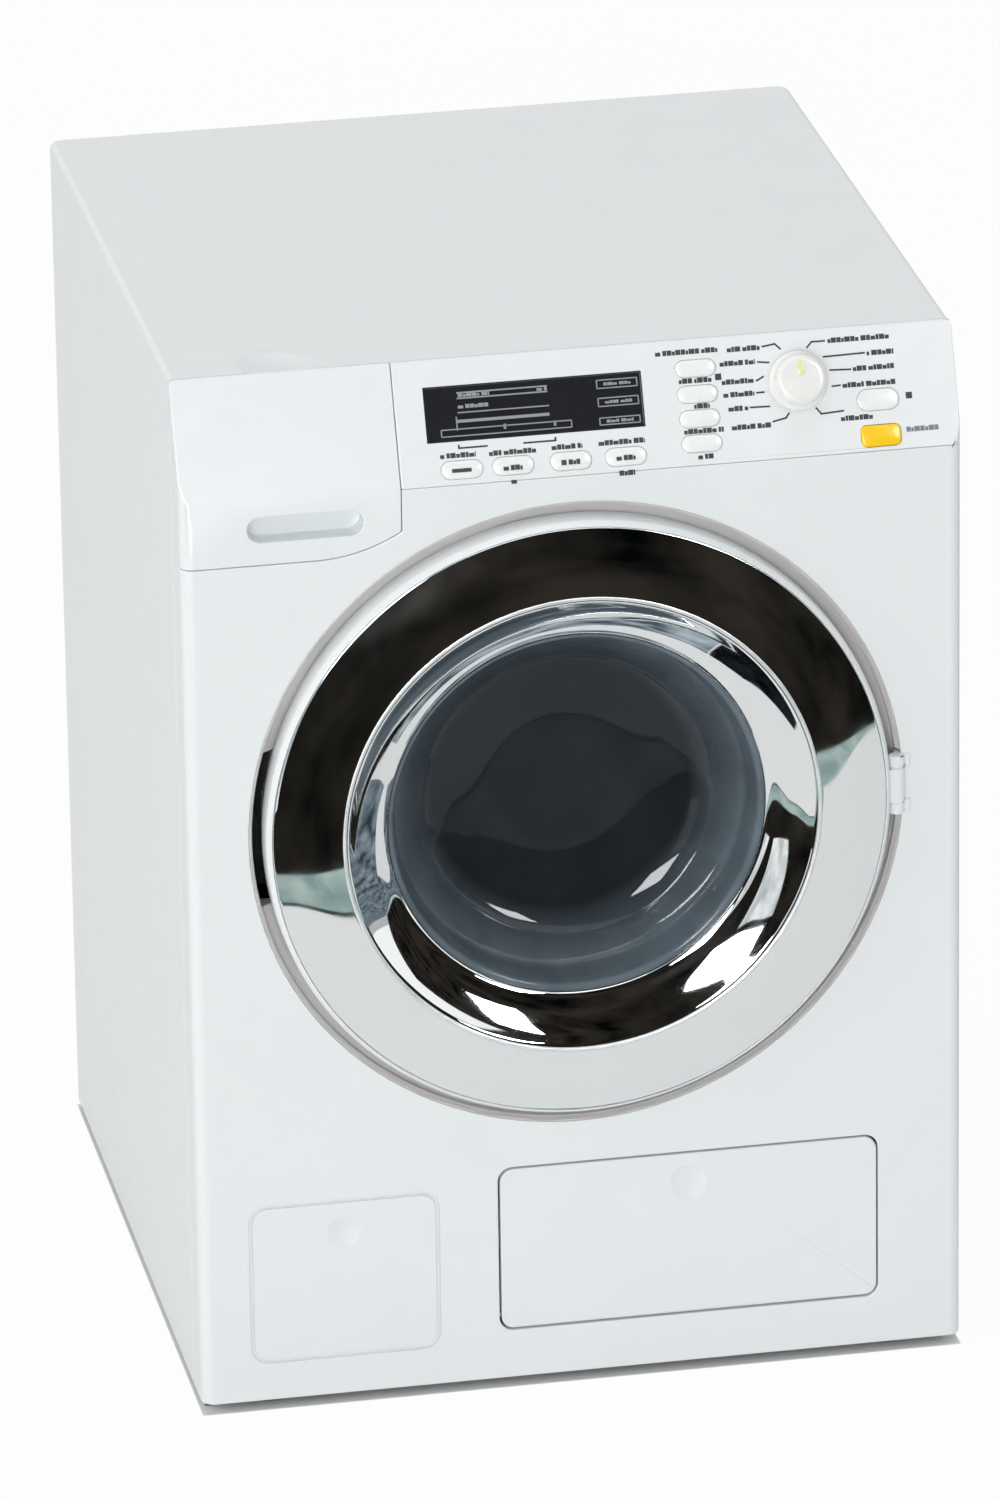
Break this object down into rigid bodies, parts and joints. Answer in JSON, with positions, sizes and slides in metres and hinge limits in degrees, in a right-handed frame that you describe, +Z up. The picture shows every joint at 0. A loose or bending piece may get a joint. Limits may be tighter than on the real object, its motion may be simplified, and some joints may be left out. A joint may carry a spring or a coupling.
{
  "type": "toy washing machine",
  "caption": "Child's front-loading toy washing machine with a hinged round door, turning drum, detergent drawer, lower flap, knob and push buttons.",
  "frame": {"origin": "on the floor under the middle of the overall box, door included", "axes": "+Z up, the door faces -Y, +X to the right seen from the front, where the door hinge is"},
  "size_m": [0.185, 0.1976, 0.2575],
  "materials": {
    "white_plastic": "satin",
    "grey_plastic": "satin",
    "dark_plastic": "matte",
    "rubber": "matte",
    "steel": "brushed",
    "chrome_plate": "polished",
    "smoke_glass": "smoked clear",
    "yellow_plastic": "gloss",
    "black_gloss": "gloss",
    "board": "solder mask",
    "battery_wrap": "printed sleeve",
    "bronze": "sintered",
    "belt": "matte"
  },
  "bodies": {
    "machine": {"cabinet": "white_plastic", "front_panel": "white_plastic", "fascia_panel": "white_plastic", "top_cover": "white_plastic", "rear_cover": "grey_plastic", "base_plate": "dark_plastic", "feet": "rubber", "door_surround": "grey_plastic", "door_gasket": "rubber", "tub": "grey_plastic", "shaft_bearings": "bronze", "drive_belt": "belt", "motor": "steel", "motor_bracket": "steel", "bracket_screws": "steel", "battery_box": "dark_plastic", "battery_cells": "battery_wrap", "battery_contacts": "steel", "circuit_board": "board", "cover_screws": "steel", "push_switches": "dark_plastic", "encoder": "dark_plastic", "display_lens": "black_gloss", "display_module": "dark_plastic", "speaker": "dark_plastic", "drawer_housing": "grey_plastic", "flap_pin": "steel", "flap_box": "grey_plastic", "fill_tube": "grey_plastic", "drain_tube": "grey_plastic", "hinge_pin": "steel"},
    "door": {"door_frame": "white_plastic", "chrome_ring": "chrome_plate", "chrome_funnel": "chrome_plate", "glass_bowl": "smoke_glass", "door_back_ring": "white_plastic", "door_parts_screws": "steel"},
    "drum": {"drum": "steel", "drum_paddles": "white_plastic", "drum_nut": "steel", "drum_shaft": "steel", "drum_pulley": "dark_plastic"},
    "motor_rotor": {"motor_shaft": "steel", "motor_pulley": "dark_plastic"},
    "drawer": {"drawer_front": "white_plastic", "drawer_tray": "white_plastic"},
    "flap": {"dosing_flap": "white_plastic"},
    "knob": {"knob": "white_plastic"},
    "battery_lid": {"battery_cover": "grey_plastic", "battery_screw": "steel"},
    "button_row_1": {"button_row_1": "white_plastic"},
    "button_row_2": {"button_row_2": "white_plastic"},
    "button_row_3": {"button_row_3": "white_plastic"},
    "button_row_4": {"button_row_4": "white_plastic"},
    "button_col_1": {"button_col_1": "white_plastic"},
    "button_col_2": {"button_col_2": "white_plastic"},
    "button_col_3": {"button_col_3": "white_plastic"},
    "button_col_4": {"button_col_4": "white_plastic"},
    "button_white": {"button_white": "white_plastic"},
    "button_yellow": {"button_yellow": "yellow_plastic"}
  },
  "joints": [
    {"name": "door_hinge", "type": "hinge", "parent": "machine", "child": "door", "pos_m": [0.07645, -0.092, 0.14595], "axis": [0, 0, 1], "range_deg": [0, 100]},
    {"name": "drum_spin", "type": "hinge", "parent": "machine", "child": "drum", "pos_m": [0, -0.0272, 0.14595], "axis": [0, 1, 0], "continuous": true},
    {"name": "motor_spin", "type": "hinge", "parent": "machine", "child": "motor_rotor", "pos_m": [0.055, 0.0288, 0.04], "axis": [0, 1, 0], "continuous": true},
    {"name": "drawer_slide", "type": "slide", "parent": "machine", "child": "drawer", "axis": [0, -1, 0], "range_m": [0, 0.055]},
    {"name": "flap_hinge", "type": "hinge", "parent": "machine", "child": "flap", "pos_m": [0.0259, -0.0894, 0.0185], "axis": [1, 0, 0], "range_deg": [0, 85]},
    {"name": "knob_turn", "type": "hinge", "parent": "machine", "child": "knob", "pos_m": [0.0548, -0.08389, 0.24695], "axis": [0, -0.9138, 0.4061], "continuous": true},
    {"name": "battery_lid_off", "type": "slide", "parent": "machine", "child": "battery_lid", "axis": [0, 1, 0], "range_m": [0, 0.03]},
    {"name": "button_row_1_press", "type": "slide", "parent": "machine", "child": "button_row_1", "axis": [0, 0.9138, -0.4061], "range_m": [0, 0.001], "stiffness_N_per_m": 150, "springref_m": -0.001},
    {"name": "button_row_2_press", "type": "slide", "parent": "machine", "child": "button_row_2", "axis": [0, 0.9138, -0.4061], "range_m": [0, 0.001], "stiffness_N_per_m": 150, "springref_m": -0.001},
    {"name": "button_row_3_press", "type": "slide", "parent": "machine", "child": "button_row_3", "axis": [0, 0.9138, -0.4061], "range_m": [0, 0.001], "stiffness_N_per_m": 150, "springref_m": -0.001},
    {"name": "button_row_4_press", "type": "slide", "parent": "machine", "child": "button_row_4", "axis": [0, 0.9138, -0.4061], "range_m": [0, 0.001], "stiffness_N_per_m": 150, "springref_m": -0.001},
    {"name": "button_col_1_press", "type": "slide", "parent": "machine", "child": "button_col_1", "axis": [0, 0.9138, -0.4061], "range_m": [0, 0.001], "stiffness_N_per_m": 150, "springref_m": -0.001},
    {"name": "button_col_2_press", "type": "slide", "parent": "machine", "child": "button_col_2", "axis": [0, 0.9138, -0.4061], "range_m": [0, 0.001], "stiffness_N_per_m": 150, "springref_m": -0.001},
    {"name": "button_col_3_press", "type": "slide", "parent": "machine", "child": "button_col_3", "axis": [0, 0.9138, -0.4061], "range_m": [0, 0.001], "stiffness_N_per_m": 150, "springref_m": -0.001},
    {"name": "button_col_4_press", "type": "slide", "parent": "machine", "child": "button_col_4", "axis": [0, 0.9138, -0.4061], "range_m": [0, 0.001], "stiffness_N_per_m": 150, "springref_m": -0.001},
    {"name": "button_white_press", "type": "slide", "parent": "machine", "child": "button_white", "axis": [0, 0.9138, -0.4061], "range_m": [0, 0.001], "stiffness_N_per_m": 150, "springref_m": -0.001},
    {"name": "button_yellow_press", "type": "slide", "parent": "machine", "child": "button_yellow", "axis": [0, 0.9138, -0.4061], "range_m": [0, 0.001], "stiffness_N_per_m": 150, "springref_m": -0.001}
  ],
  "couplings": [
    {"joint": "motor_spin", "follows": "drum_spin", "ratio": 6.5932}
  ]
}
